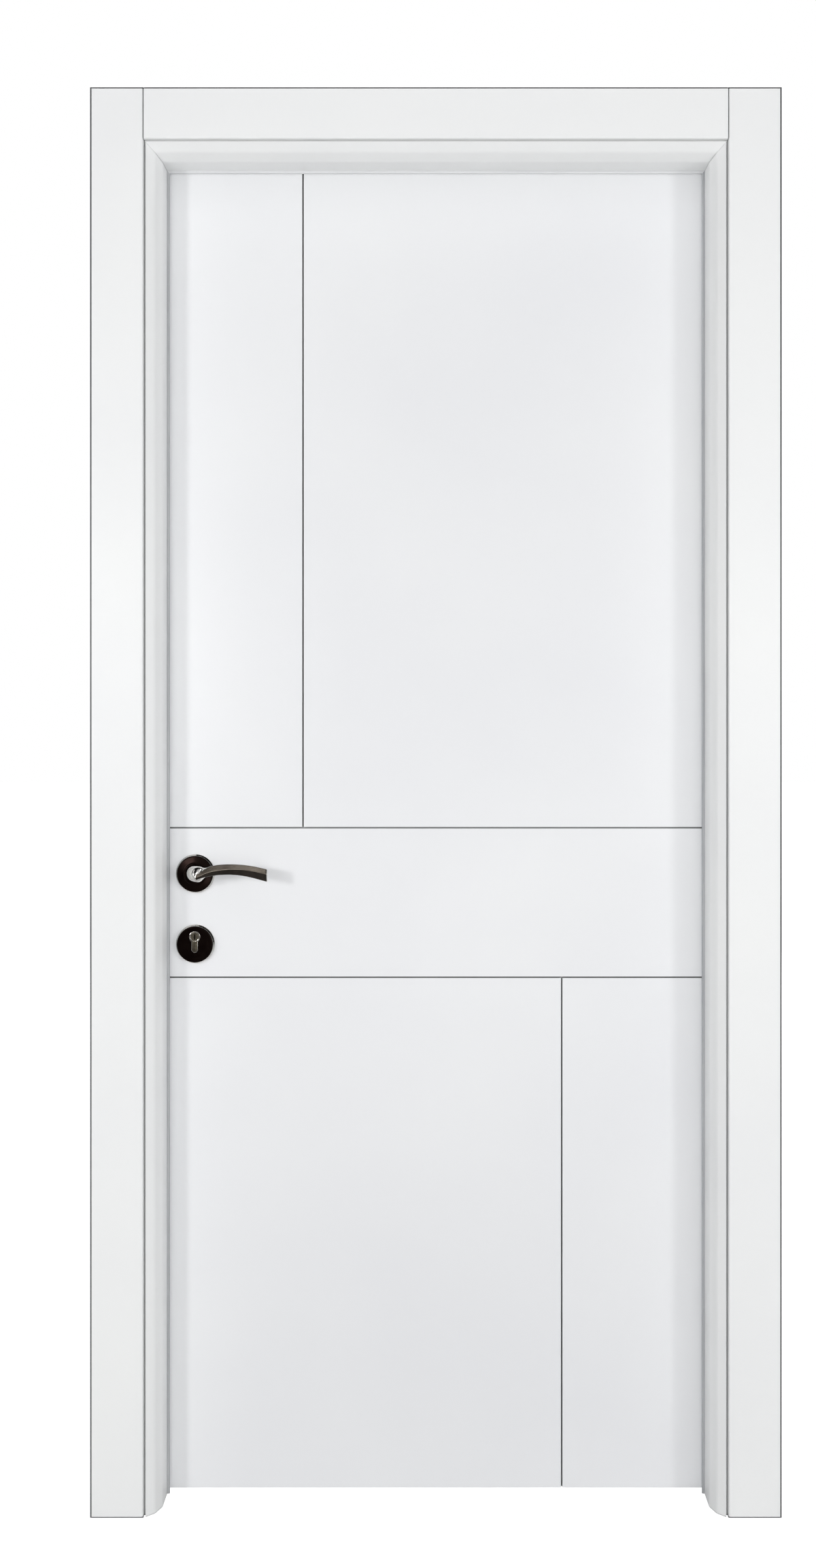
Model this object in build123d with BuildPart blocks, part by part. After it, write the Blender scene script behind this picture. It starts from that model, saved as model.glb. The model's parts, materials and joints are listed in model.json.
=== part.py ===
import os
from build123d import *

os.makedirs("parts", exist_ok=True)

# White lacquered interior door set, closed, seen from the side it is pushed from.
# X runs right along the wall, Y into the room behind, Z up. The origin lies on the hinge
# jamb's wall face, at floor level, midway through the wall.

# Overall sizes of the set, over the casings
overall_width = 1039
overall_height = 2150
wall_depth = 100

# Casings, flat boards lapping onto the edges of the jambs
casing_width = 80
head_casing_width = 78
casing_thickness = 15
casing_lap = 13
casing_bevel = 2.5
casing_inner_radius = 3
casing_joint_gap = 0.8

# Jamb section: a quirk beside the casing, a splayed nose turning into the reveal, a rebate for the leaf
jamb_thickness = 36.5
nose_setback = 4
quirk_width = 3
quirk_depth = 6
splay_width = 12.5
splay_depth = 10
nose_depth = 29
nose_radius = 12
rebate_width = 11.5
seal_gap = 4
kerf_width = 3
kerf_depth = 7
kerf_inset = 6

# Seal in the stop, just off the leaf when shut
seal_clearance = 0.4
seal_bulge = 4
seal_width = 12
seal_radius = 1.5

# Leaf: two engraved skins on a frame of stiles and rails
leaf_thickness = 40
leaf_gap = 5
leaf_floor_gap = 7
skin_thickness = 8
leaf_edge_radius = 1
lock_stile_width = 100
hinge_stile_width = 60
top_rail_height = 60
bottom_rail_height = 80

# Engraved lines, heights above the floor and distances from the leaf's middle
groove_width = 2.5
groove_depth = 4.5
upper_groove_height = 1031
lower_groove_height = 799
upper_groove_offset = 206
lower_groove_offset = 195

# Lever furniture and lock
backset = 50
lever_height = 960
cylinder_drop = 97
escutcheon_drop = 12
rose_diameter = 60
rose_cap_diameter = 56
rose_rim_thickness = 5
rose_rim_chamfer = 2
rose_thickness = 9
rose_cap_radius = 1.5
escutcheon_ring_radius = 20
escutcheon_ring_width = 1
escutcheon_ring_depth = 0.6
neck_radius = 9.5
neck_clearance = 0.1
neck_start = 1
elbow_radius = 12.5
lever_projection = 46
blade_thickness = 11
blade_bevel = 4
spindle_width = 8
spindle_depth = 26
furniture_hole_radius = 13

# Lever blade: distance from the spindle, then heights of lower edge, ridge and upper edge
blade_stations = [
    (0, -8.5, -1.5, 8),
    (24, 0, 6, 14.5),
    (46, 3.4, 10.8, 19.2),
    (84, 1, 11, 18.2),
    (116, -7.4, 4.4, 11.6),
]

# Key cylinder of the usual keyhole-shaped section
cylinder_radius = 8.5
cylinder_web = 10
cylinder_height = 33
cylinder_proud = 1
cylinder_clearance = 0.3
plug_radius = 6.4
plug_clearance = 0.05
plug_length = 24
keyway_width = 2
keyway_height = 8.5
keyway_depth = 18

# Mortise lock in the edge of the leaf
forend_height = 235
forend_width = 22
forend_thickness = 3
case_thickness = 15
case_depth = 78
case_margin = 40
follower_radius = 8
latch_height = 22
latch_width = 12
latch_length = 30
latch_proud = 1.5
latch_rise = 30
bolt_height = 34
bolt_drop = 12
strike_width = 24
strike_height = 180
strike_thickness = 2
strike_window_margin = 2
strike_pocket_depth = 14

# Butt hinges, three to the leaf
hinge_end_distance = 215
hinge_height = 100
hinge_plate_depth = 32
hinge_plate_thickness = 2.5
knuckle_count = 5
knuckle_radius = 6.5
knuckle_gap = 0.4
knuckle_projection = 9
knuckle_relief = 1
pin_radius = 3
pin_clearance = 0.08
pin_head_radius = 5.5
pin_head_height = 3

# Sizes that follow
frame_width = overall_width - 2 * (casing_width - casing_lap)
frame_height = overall_height - (head_casing_width - casing_lap)
clear_width = frame_width - 2 * jamb_thickness
clear_height = frame_height - jamb_thickness

lock_face_x = -frame_width
centre_x = -frame_width / 2
wall_front_y = -wall_depth / 2
wall_back_y = wall_depth / 2
nose_front_y = wall_front_y - casing_thickness + nose_setback

leaf_width = clear_width + 2 * (rebate_width - leaf_gap)
leaf_left = centre_x - leaf_width / 2
leaf_right = centre_x + leaf_width / 2
leaf_bottom = leaf_floor_gap
leaf_top = clear_height + rebate_width - leaf_gap
leaf_back_y = wall_back_y
leaf_front_y = leaf_back_y - leaf_thickness
leaf_mid_y = (leaf_front_y + leaf_back_y) / 2
core_thickness = leaf_thickness - 2 * skin_thickness
stop_y = leaf_front_y - seal_gap
rebate_u = jamb_thickness - rebate_width

spindle_x = leaf_left + backset
cylinder_z = lever_height - cylinder_drop
escutcheon_z = cylinder_z - escutcheon_drop
latch_z = lever_height - latch_rise
bolt_z = cylinder_z - bolt_drop - cylinder_height + cylinder_radius + bolt_height / 2
forend_z = (latch_z + bolt_z) / 2
case_low = cylinder_z - case_margin
case_high = lever_height + case_margin

axis_x = -rebate_u - leaf_gap / 2
axis_y = leaf_back_y + knuckle_projection
knuckle_height = hinge_height / knuckle_count
hinge_heights = {
    "bottom": leaf_bottom + hinge_end_distance,
    "middle": (leaf_bottom + leaf_top) / 2,
    "top": leaf_top - hinge_end_distance,
}

leaf_middle = Plane.XZ.offset(-leaf_mid_y)
lock_section = Plane(origin=(lock_face_x, 0, 0), x_dir=(1, 0, 0), z_dir=(0, 0, 1))
hinge_section = Plane(origin=(0, 0, 0), x_dir=(-1, 0, 0), z_dir=(0, 0, -1))
head_section = Plane(origin=(lock_face_x, 0, frame_height), x_dir=(0, 0, -1), z_dir=(1, 0, 0))
lock_mitre = Plane(origin=(lock_face_x, 0, frame_height), z_dir=(1, 0, 1))
hinge_mitre = Plane(origin=(0, 0, frame_height), z_dir=(-1, 0, 1))


def save(piece, name):
    piece.part.label = name
    export_step(piece.part, f"parts/{name}.step")


def block(low, high, mode=Mode.ADD):
    # A square-edged block between two corners
    size = [b - a for a, b in zip(low, high)]
    middle = tuple((a + b) / 2 for a, b in zip(low, high))
    with Locations(middle):
        Box(*size, mode=mode)


# Jamb section: local X runs from the wall face towards the opening, local Y through the wall
kerf_far = jamb_thickness - kerf_inset + kerf_width / 2
kerf_near = kerf_far - kerf_width
nose_start_u = casing_lap + quirk_width
splay_end_u = nose_start_u + splay_width
splay_end_y = nose_front_y + splay_depth
nose_end_y = nose_front_y + nose_depth
quirk_y = nose_front_y + quirk_depth
with BuildSketch() as jamb_profile:
    with BuildLine():
        Polyline(
            (nose_start_u, nose_front_y),
            (nose_start_u, quirk_y),
            (casing_lap, quirk_y),
            (casing_lap, wall_front_y),
            (0, wall_front_y),
            (0, wall_back_y),
            (rebate_u, wall_back_y),
            (rebate_u, stop_y),
            (kerf_near, stop_y),
            (kerf_near, stop_y - kerf_depth),
            (kerf_far, stop_y - kerf_depth),
            (kerf_far, stop_y),
            (jamb_thickness, stop_y),
            (jamb_thickness, nose_end_y),
            (splay_end_u, splay_end_y),
            close=True,
        )
    make_face()
    nose_corners = jamb_profile.vertices().sort_by_distance((splay_end_u, splay_end_y))[0:1]
    nose_corners += jamb_profile.vertices().sort_by_distance((jamb_thickness, nose_end_y))[0:1]
    fillet(nose_corners, nose_radius)

# Seal section in the same place: a round lip against the leaf, on a barb pressed into the kerf
lip_depth = seal_gap - seal_clearance
lip_middle = jamb_thickness + seal_bulge - seal_width / 2
with BuildSketch() as seal_profile:
    with Locations((lip_middle, stop_y + lip_depth / 2)):
        RectangleRounded(seal_width, lip_depth, seal_radius)
    with Locations((jamb_thickness - kerf_inset, stop_y - (kerf_depth - seal_radius) / 2)):
        Rectangle(kerf_width, kerf_depth + seal_radius)

# Keyhole-shaped section of the cylinder, round above with a narrower web below
web_height = cylinder_height - cylinder_radius - cylinder_web / 2
with BuildSketch() as keyhole:
    Circle(cylinder_radius)
    with Locations((0, -web_height / 2)):
        Rectangle(cylinder_web, web_height)
    with Locations((0, -web_height)):
        Circle(cylinder_web / 2)

with BuildSketch() as keyhole_opening:
    add(keyhole.sketch)
    offset(amount=cylinder_clearance)

# Jambs and head, one section mitred at the top corners
hinge_recess_low_y = wall_back_y - hinge_plate_depth
strike_x = lock_face_x + rebate_u
window_width = latch_width + 2 * strike_window_margin
latch_window = latch_height + 2 * strike_window_margin
bolt_window = bolt_height + 2 * strike_window_margin

with BuildPart() as lock_jamb:
    with BuildSketch(lock_section):
        add(jamb_profile.sketch)
    extrude(amount=frame_height)
    split(bisect_by=lock_mitre, keep=Keep.BOTTOM)
    block(
        (strike_x - strike_thickness, leaf_mid_y - strike_width / 2, forend_z - strike_height / 2),
        (strike_x, leaf_mid_y + strike_width / 2, forend_z + strike_height / 2),
        mode=Mode.SUBTRACT,
    )
    for middle, height in [(latch_z, latch_window), (bolt_z, bolt_window)]:
        block(
            (strike_x - strike_pocket_depth, leaf_mid_y - window_width / 2, middle - height / 2),
            (strike_x, leaf_mid_y + window_width / 2, middle + height / 2),
            mode=Mode.SUBTRACT,
        )
save(lock_jamb, "lock_jamb")

with BuildPart() as hinge_jamb:
    with BuildSketch(hinge_section):
        add(jamb_profile.sketch)
    extrude(amount=-frame_height)
    split(bisect_by=hinge_mitre, keep=Keep.BOTTOM)
    for middle in hinge_heights.values():
        block(
            (-rebate_u, hinge_recess_low_y, middle - hinge_height / 2),
            (-rebate_u + hinge_plate_thickness, wall_back_y, middle + hinge_height / 2),
            mode=Mode.SUBTRACT,
        )
save(hinge_jamb, "hinge_jamb")

with BuildPart() as head_jamb:
    with BuildSketch(head_section):
        add(jamb_profile.sketch)
    extrude(amount=frame_width)
    split(bisect_by=lock_mitre, keep=Keep.TOP)
    split(bisect_by=hinge_mitre, keep=Keep.TOP)
save(head_jamb, "head_jamb")

# Seals along both jambs and the head, mitred like them
with BuildPart() as lock_side_seal:
    with BuildSketch(lock_section):
        add(seal_profile.sketch)
    extrude(amount=frame_height)
    split(bisect_by=lock_mitre, keep=Keep.BOTTOM)
save(lock_side_seal, "lock_side_seal")

with BuildPart() as hinge_side_seal:
    with BuildSketch(hinge_section):
        add(seal_profile.sketch)
    extrude(amount=-frame_height)
    split(bisect_by=hinge_mitre, keep=Keep.BOTTOM)
save(hinge_side_seal, "hinge_side_seal")

with BuildPart() as head_seal:
    with BuildSketch(head_section):
        add(seal_profile.sketch)
    extrude(amount=frame_width)
    split(bisect_by=lock_mitre, keep=Keep.TOP)
    split(bisect_by=hinge_mitre, keep=Keep.TOP)
save(head_seal, "head_seal")

# Casings on both sides of the wall: uprights full height, the head butted between them
casing_inner_left = lock_face_x + casing_lap
casing_inner_right = -casing_lap
casing_head_low = overall_height - head_casing_width
head_left = casing_inner_left + casing_joint_gap
head_right = casing_inner_right - casing_joint_gap
for side, wall_y, outward in [("front", wall_front_y, -1), ("back", wall_back_y, 1)]:
    near_y, far_y = sorted([wall_y, wall_y + outward * casing_thickness])
    out_axis = Axis((0, 0, 0), (0, outward, 0))
    for post, left, inner_index in [
        ("lock_side", casing_inner_left - casing_width, -1),
        ("hinge_side", casing_inner_right, 0),
    ]:
        with BuildPart() as upright:
            block((left, near_y, 0), (left + casing_width, far_y, overall_height))
            show_face = upright.faces().sort_by(out_axis)[-1]
            inner_edge = show_face.edges().filter_by(Axis.Z).sort_by(Axis.X)[inner_index]
            outer_edges = [edge for edge in show_face.edges() if edge != inner_edge]
            chamfer(outer_edges, casing_bevel)
            inner_face = upright.faces().filter_by(Axis.X).sort_by(Axis.X)[inner_index]
            front_edge = inner_face.edges().filter_by(Axis.Z).sort_by(out_axis)[-1]
            fillet(front_edge, casing_inner_radius)
        save(upright, f"{side}_casing_{post}")
    with BuildPart() as header:
        block((head_left, near_y, casing_head_low), (head_right, far_y, overall_height))
        show_face = header.faces().sort_by(out_axis)[-1]
        top_edge = show_face.edges().filter_by(Axis.X).sort_by(Axis.Z)[-1]
        chamfer(top_edge, casing_bevel)
        low_edges = header.faces().sort_by(Axis.Z)[0].edges().filter_by(Axis.X)
        fillet(low_edges.sort_by(out_axis)[-1], casing_inner_radius)
    save(header, f"{side}_casing_head")

# Leaf skins, engraved alike on both faces
upper_groove_x = centre_x - upper_groove_offset
lower_groove_x = centre_x + lower_groove_offset
for side, face_y, outward in [("front", leaf_front_y, -1), ("back", leaf_back_y, 1)]:
    inner_y = face_y - outward * skin_thickness
    near_y, far_y = sorted([inner_y, face_y])
    out_axis = Axis((0, 0, 0), (0, outward, 0))
    cut_near, cut_far = sorted([face_y, face_y - outward * groove_depth])
    with BuildPart() as skin:
        block((leaf_left, near_y, leaf_bottom), (leaf_right, far_y, leaf_top))
        fillet(skin.faces().sort_by(out_axis)[-1].edges(), leaf_edge_radius)
        for height in [upper_groove_height, lower_groove_height]:
            block(
                (leaf_left, cut_near, height - groove_width / 2),
                (leaf_right, cut_far, height + groove_width / 2),
                mode=Mode.SUBTRACT,
            )
        for middle, low, high in [
            (upper_groove_x, upper_groove_height, leaf_top),
            (lower_groove_x, leaf_bottom, lower_groove_height),
        ]:
            block(
                (middle - groove_width / 2, cut_near, low),
                (middle + groove_width / 2, cut_far, high),
                mode=Mode.SUBTRACT,
            )
        with BuildSketch(Plane.XZ.offset(-near_y)):
            with Locations((spindle_x, lever_height)):
                Circle(furniture_hole_radius)
            with Locations((spindle_x, cylinder_z)):
                add(keyhole_opening.sketch)
        extrude(amount=-skin_thickness, mode=Mode.SUBTRACT)
        if side == "back":
            for middle in hinge_heights.values():
                block(
                    (leaf_right - hinge_plate_thickness, near_y, middle - hinge_height / 2),
                    (leaf_right, far_y, middle + hinge_height / 2),
                    mode=Mode.SUBTRACT,
                )
    save(skin, f"leaf_{side}_skin")

# Stiles and rails between the skins
core_front_y = leaf_front_y + skin_thickness
core_back_y = leaf_back_y - skin_thickness
forend_low = forend_z - forend_height / 2
forend_high = forend_z + forend_height / 2

with BuildPart() as lock_stile:
    block((leaf_left, core_front_y, leaf_bottom), (leaf_left + lock_stile_width, core_back_y, leaf_top))
    block(
        (leaf_left, leaf_mid_y - forend_width / 2, forend_low),
        (leaf_left + forend_thickness, leaf_mid_y + forend_width / 2, forend_high),
        mode=Mode.SUBTRACT,
    )
    block(
        (leaf_left, leaf_mid_y - case_thickness / 2, case_low),
        (leaf_left + case_depth, leaf_mid_y + case_thickness / 2, case_high),
        mode=Mode.SUBTRACT,
    )
    with BuildSketch(Plane.XZ.offset(-core_front_y)):
        with Locations((spindle_x, lever_height)):
            Circle(furniture_hole_radius)
        with Locations((spindle_x, cylinder_z)):
            add(keyhole_opening.sketch)
    extrude(amount=-core_thickness, mode=Mode.SUBTRACT)
save(lock_stile, "lock_stile")

with BuildPart() as hinge_stile:
    block((leaf_right - hinge_stile_width, core_front_y, leaf_bottom), (leaf_right, core_back_y, leaf_top))
    for middle in hinge_heights.values():
        block(
            (leaf_right - hinge_plate_thickness, hinge_recess_low_y, middle - hinge_height / 2),
            (leaf_right, core_back_y, middle + hinge_height / 2),
            mode=Mode.SUBTRACT,
        )
save(hinge_stile, "hinge_stile")

rail_left = leaf_left + lock_stile_width
rail_right = leaf_right - hinge_stile_width
with BuildPart() as top_rail:
    block((rail_left, core_front_y, leaf_top - top_rail_height), (rail_right, core_back_y, leaf_top))
save(top_rail, "top_rail")

with BuildPart() as bottom_rail:
    block((rail_left, core_front_y, leaf_bottom), (rail_right, core_back_y, leaf_bottom + bottom_rail_height))
save(bottom_rail, "bottom_rail")

# Mortise lock: case behind a forend let into the edge, with the latch and bolt drawn in
with BuildPart() as mortise_lock:
    block(
        (leaf_left, leaf_mid_y - forend_width / 2, forend_low),
        (leaf_left + forend_thickness, leaf_mid_y + forend_width / 2, forend_high),
    )
    block(
        (leaf_left, leaf_mid_y - case_thickness / 2, case_low),
        (leaf_left + case_depth, leaf_mid_y + case_thickness / 2, case_high),
    )
    for middle, height in [(latch_z, latch_height), (bolt_z, bolt_height)]:
        block(
            (leaf_left, leaf_mid_y - latch_width / 2, middle - height / 2),
            (leaf_left + latch_length, leaf_mid_y + latch_width / 2, middle + height / 2),
            mode=Mode.SUBTRACT,
        )
    with BuildSketch(leaf_middle):
        with Locations((spindle_x, lever_height)):
            Circle(follower_radius)
    extrude(amount=case_thickness, both=True, mode=Mode.SUBTRACT)
    with BuildSketch(leaf_middle):
        with Locations((spindle_x, cylinder_z)):
            add(keyhole_opening.sketch)
    extrude(amount=case_thickness, both=True, mode=Mode.SUBTRACT)
save(mortise_lock, "mortise_lock")

with BuildPart() as latch_bolt:
    block(
        (leaf_left - latch_proud, leaf_mid_y - latch_width / 2, latch_z - latch_height / 2),
        (leaf_left + latch_length, leaf_mid_y + latch_width / 2, latch_z + latch_height / 2),
    )
    nose_edges = latch_bolt.faces().sort_by(Axis.X)[0].edges().filter_by(Axis.Z)
    fillet(nose_edges, latch_proud)
save(latch_bolt, "latch_bolt")

with BuildPart() as dead_bolt:
    block(
        (leaf_left, leaf_mid_y - latch_width / 2, bolt_z - bolt_height / 2),
        (leaf_left + latch_length, leaf_mid_y + latch_width / 2, bolt_z + bolt_height / 2),
    )
save(dead_bolt, "dead_bolt")

with BuildPart() as strike_plate:
    block(
        (strike_x - strike_thickness, leaf_mid_y - strike_width / 2, forend_z - strike_height / 2),
        (strike_x, leaf_mid_y + strike_width / 2, forend_z + strike_height / 2),
    )
    for middle, height in [(latch_z, latch_window), (bolt_z, bolt_window)]:
        block(
            (strike_x - strike_thickness, leaf_mid_y - window_width / 2, middle - height / 2),
            (strike_x, leaf_mid_y + window_width / 2, middle + height / 2),
            mode=Mode.SUBTRACT,
        )
save(strike_plate, "strike_plate")

# Key cylinder through the leaf, with a plug in each end
cylinder_front_y = leaf_front_y - rose_thickness - cylinder_proud
cylinder_back_y = leaf_back_y + rose_thickness + cylinder_proud
front_end = Plane.XZ.offset(-cylinder_front_y)
cylinder_length = cylinder_back_y - cylinder_front_y

with BuildPart() as key_cylinder:
    with BuildSketch(front_end):
        with Locations((spindle_x, cylinder_z)):
            add(keyhole.sketch)
    extrude(amount=-cylinder_length)
    for end_y, inward in [(cylinder_front_y, -1), (cylinder_back_y, 1)]:
        with BuildSketch(Plane.XZ.offset(-end_y)):
            with Locations((spindle_x, cylinder_z)):
                Circle(plug_radius + plug_clearance)
        extrude(amount=inward * plug_length, mode=Mode.SUBTRACT)
save(key_cylinder, "key_cylinder")

with BuildPart() as front_key_plug:
    with BuildSketch(front_end):
        with Locations((spindle_x, cylinder_z)):
            Circle(plug_radius)
    extrude(amount=-plug_length)
    with BuildSketch(front_end):
        with Locations((spindle_x, cylinder_z)):
            Rectangle(keyway_width, keyway_height)
    extrude(amount=-keyway_depth, mode=Mode.SUBTRACT)
save(front_key_plug, "front_key_plug")

with BuildPart() as back_key_plug:
    mirror(front_key_plug.part, about=leaf_middle)
save(back_key_plug, "back_key_plug")

# Roses and key escutcheons on the front, then the same mirrored on the back
face_plane = Plane.XZ.offset(-leaf_front_y)
cap_thickness = rose_thickness - rose_rim_thickness
cap_plane = face_plane.offset(rose_rim_thickness)

with BuildPart() as lever_rose_rim:
    with BuildSketch(face_plane):
        with Locations((spindle_x, lever_height)):
            Circle(rose_diameter / 2)
            Circle(neck_radius + neck_clearance, mode=Mode.SUBTRACT)
    extrude(amount=rose_rim_thickness)
    rim_edges = lever_rose_rim.faces().sort_by(Axis.Y)[0].edges()
    chamfer(rim_edges.sort_by(SortBy.LENGTH)[-1], rose_rim_chamfer)

with BuildPart() as lever_rose:
    with BuildSketch(cap_plane):
        with Locations((spindle_x, lever_height)):
            Circle(rose_cap_diameter / 2)
            Circle(neck_radius + neck_clearance, mode=Mode.SUBTRACT)
    extrude(amount=cap_thickness)
    cap_edges = lever_rose.faces().sort_by(Axis.Y)[0].edges()
    fillet(cap_edges.sort_by(SortBy.LENGTH)[-1], rose_cap_radius)

with BuildPart() as key_escutcheon_rim:
    with BuildSketch(face_plane):
        with Locations((spindle_x, escutcheon_z)):
            Circle(rose_diameter / 2)
        with Locations((spindle_x, cylinder_z)):
            add(keyhole_opening.sketch, mode=Mode.SUBTRACT)
    extrude(amount=rose_rim_thickness)
    rim_edges = key_escutcheon_rim.faces().sort_by(Axis.Y)[0].edges()
    chamfer(rim_edges.sort_by(SortBy.LENGTH)[-1], rose_rim_chamfer)

with BuildPart() as key_escutcheon:
    with BuildSketch(cap_plane):
        with Locations((spindle_x, escutcheon_z)):
            Circle(rose_cap_diameter / 2)
        with Locations((spindle_x, cylinder_z)):
            add(keyhole_opening.sketch, mode=Mode.SUBTRACT)
    extrude(amount=cap_thickness)
    cap_edges = key_escutcheon.faces().sort_by(Axis.Y)[0].edges()
    fillet(cap_edges.sort_by(SortBy.LENGTH)[-1], rose_cap_radius)
    with BuildSketch(cap_plane.offset(cap_thickness)):
        with Locations((spindle_x, escutcheon_z)):
            Circle(escutcheon_ring_radius + escutcheon_ring_width)
            Circle(escutcheon_ring_radius, mode=Mode.SUBTRACT)
    extrude(amount=-escutcheon_ring_depth, mode=Mode.SUBTRACT)

for name, piece in [
    ("lever_rose_rim", lever_rose_rim),
    ("lever_rose", lever_rose),
    ("key_escutcheon_rim", key_escutcheon_rim),
    ("key_escutcheon", key_escutcheon),
]:
    save(piece, f"front_{name}")
    with BuildPart() as other_side:
        mirror(piece.part, about=leaf_middle)
    save(other_side, f"back_{name}")

# Levers: a round neck from the rose, an elbow and a ridged, arched blade
blade_back_y = leaf_front_y - lever_projection + blade_thickness / 2
blade_front_y = blade_back_y - blade_thickness
elbow_y = (blade_back_y + blade_front_y) / 2
neck_start_y = leaf_front_y - neck_start

with BuildPart() as front_lever:
    for reach, lower, ridge, upper in blade_stations:
        station = Plane(origin=(spindle_x + reach, 0, lever_height), x_dir=(0, 1, 0), z_dir=(1, 0, 0))
        with BuildSketch(station):
            with BuildLine():
                Polyline(
                    (blade_back_y, upper),
                    (blade_front_y + blade_bevel, upper),
                    (blade_front_y, ridge),
                    (blade_front_y + blade_bevel, lower),
                    (blade_back_y, lower),
                    close=True,
                )
            make_face()
    loft()
    with BuildSketch(Plane.XZ.offset(-neck_start_y)):
        with Locations((spindle_x, lever_height)):
            Circle(neck_radius)
    extrude(amount=neck_start_y - elbow_y)
    with Locations((spindle_x, elbow_y, lever_height)):
        Sphere(elbow_radius, rotation=(0, 0, 180))
    with BuildSketch(Plane.XZ.offset(-neck_start_y)):
        with Locations((spindle_x, lever_height)):
            Rectangle(spindle_width, spindle_width)
    extrude(amount=spindle_depth, mode=Mode.SUBTRACT)
save(front_lever, "front_lever")

with BuildPart() as back_lever:
    mirror(front_lever.part, about=leaf_middle)
save(back_lever, "back_lever")

spindle_half = leaf_mid_y - neck_start_y + spindle_depth
with BuildPart() as spindle:
    with Locations((spindle_x, leaf_mid_y, lever_height)):
        Box(spindle_width, 2 * spindle_half, spindle_width)
save(spindle, "spindle")

# Butt hinges: plates let into jamb and leaf, knuckles turn about shared pins
plate_end_y = axis_y - knuckle_radius - knuckle_relief
for name, middle in hinge_heights.items():
    low = middle - hinge_height / 2
    for half, plate_x, own_knuckles in [
        ("frame", -rebate_u, range(0, knuckle_count, 2)),
        ("leaf", leaf_right - hinge_plate_thickness, range(1, knuckle_count, 2)),
    ]:
        with BuildPart() as hinge_half:
            block(
                (plate_x, hinge_recess_low_y, low),
                (plate_x + hinge_plate_thickness, plate_end_y, low + hinge_height),
            )
            for index in own_knuckles:
                knuckle_low = low + index * knuckle_height + knuckle_gap / 2
                knuckle_high = knuckle_low + knuckle_height - knuckle_gap
                block(
                    (plate_x, plate_end_y, knuckle_low),
                    (plate_x + hinge_plate_thickness, axis_y, knuckle_high),
                )
                with BuildSketch(Plane.XY.offset(knuckle_low)):
                    with Locations((axis_x, axis_y)):
                        Circle(knuckle_radius)
                extrude(amount=knuckle_high - knuckle_low)
            with BuildSketch(Plane.XY.offset(low)):
                with Locations((axis_x, axis_y)):
                    Circle(pin_radius + pin_clearance)
            extrude(amount=hinge_height, mode=Mode.SUBTRACT)
        save(hinge_half, f"{name}_hinge_{half}_half")
    with BuildPart() as hinge_pin:
        with BuildSketch(Plane.XY.offset(low)):
            with Locations((axis_x, axis_y)):
                Circle(pin_radius)
        extrude(amount=hinge_height)
        for head_low in [low - pin_head_height, low + hinge_height]:
            with BuildSketch(Plane.XY.offset(head_low)):
                with Locations((axis_x, axis_y)):
                    Circle(pin_head_radius)
            extrude(amount=pin_head_height)
    save(hinge_pin, f"{name}_hinge_pin")
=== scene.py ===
import json
import math
import bmesh
import bpy
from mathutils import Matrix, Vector


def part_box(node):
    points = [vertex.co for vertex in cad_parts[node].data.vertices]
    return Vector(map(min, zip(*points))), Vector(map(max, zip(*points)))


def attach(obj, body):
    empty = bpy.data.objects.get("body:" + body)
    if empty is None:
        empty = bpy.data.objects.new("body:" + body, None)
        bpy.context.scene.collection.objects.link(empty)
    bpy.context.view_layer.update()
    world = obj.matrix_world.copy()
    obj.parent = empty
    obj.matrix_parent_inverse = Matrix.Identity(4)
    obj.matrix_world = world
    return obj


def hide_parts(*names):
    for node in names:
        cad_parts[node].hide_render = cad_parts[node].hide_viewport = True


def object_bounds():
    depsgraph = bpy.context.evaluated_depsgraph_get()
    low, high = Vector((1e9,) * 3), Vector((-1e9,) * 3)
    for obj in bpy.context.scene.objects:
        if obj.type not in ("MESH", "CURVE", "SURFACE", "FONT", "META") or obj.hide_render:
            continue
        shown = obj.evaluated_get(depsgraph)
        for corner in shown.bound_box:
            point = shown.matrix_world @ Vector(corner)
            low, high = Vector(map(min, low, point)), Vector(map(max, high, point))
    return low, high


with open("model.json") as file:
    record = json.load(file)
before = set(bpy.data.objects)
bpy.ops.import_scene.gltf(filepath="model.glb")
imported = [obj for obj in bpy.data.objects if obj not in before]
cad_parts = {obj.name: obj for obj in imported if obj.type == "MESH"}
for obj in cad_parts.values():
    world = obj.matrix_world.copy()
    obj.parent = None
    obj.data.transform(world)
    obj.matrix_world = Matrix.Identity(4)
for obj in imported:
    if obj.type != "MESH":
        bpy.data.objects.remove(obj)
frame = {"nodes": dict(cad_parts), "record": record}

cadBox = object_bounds()
nodes = frame["nodes"]
scene = bpy.context.scene
scene.view_settings.view_transform = "Standard"
mm = 0.001
tiny = 0.001 * mm  # points nearer than this count as one


def linear(hexColour):
    # sRGB hex to the linear values that Blender's sockets take
    channels = [int(hexColour[i:i + 2], 16) / 255 for i in (1, 3, 5)]
    return [c / 12.92 if c <= 0.04045 else ((c + 0.055) / 1.055) ** 2.4 for c in channels] + [1.0]


def addNode(tree, kind, values=(), links=(), **settings):
    # one node with its settings, socket values and incoming links
    made = tree.nodes.new(kind)
    for name, value in settings.items():
        setattr(made, name, value)
    for socket, value in dict(values).items():
        made.inputs[socket].default_value = value
    for socket, source in dict(links).items():
        tree.links.new(source, made.inputs[socket])
    return made


def startMaterial(name):
    material = bpy.data.materials.new(name)
    material.use_nodes = True
    material.node_tree.nodes.clear()
    return material, material.node_tree


def setRamp(ramp, places, colours):
    for element, place, colour in zip(ramp.color_ramp.elements, places, colours):
        element.position = place
        element.color = linear(colour)


def spanTo(span, result):
    # socket values of a map range that takes one span to another
    return {"From Min": span[0], "From Max": span[1], "To Min": result[0], "To Max": result[1]}


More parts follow.
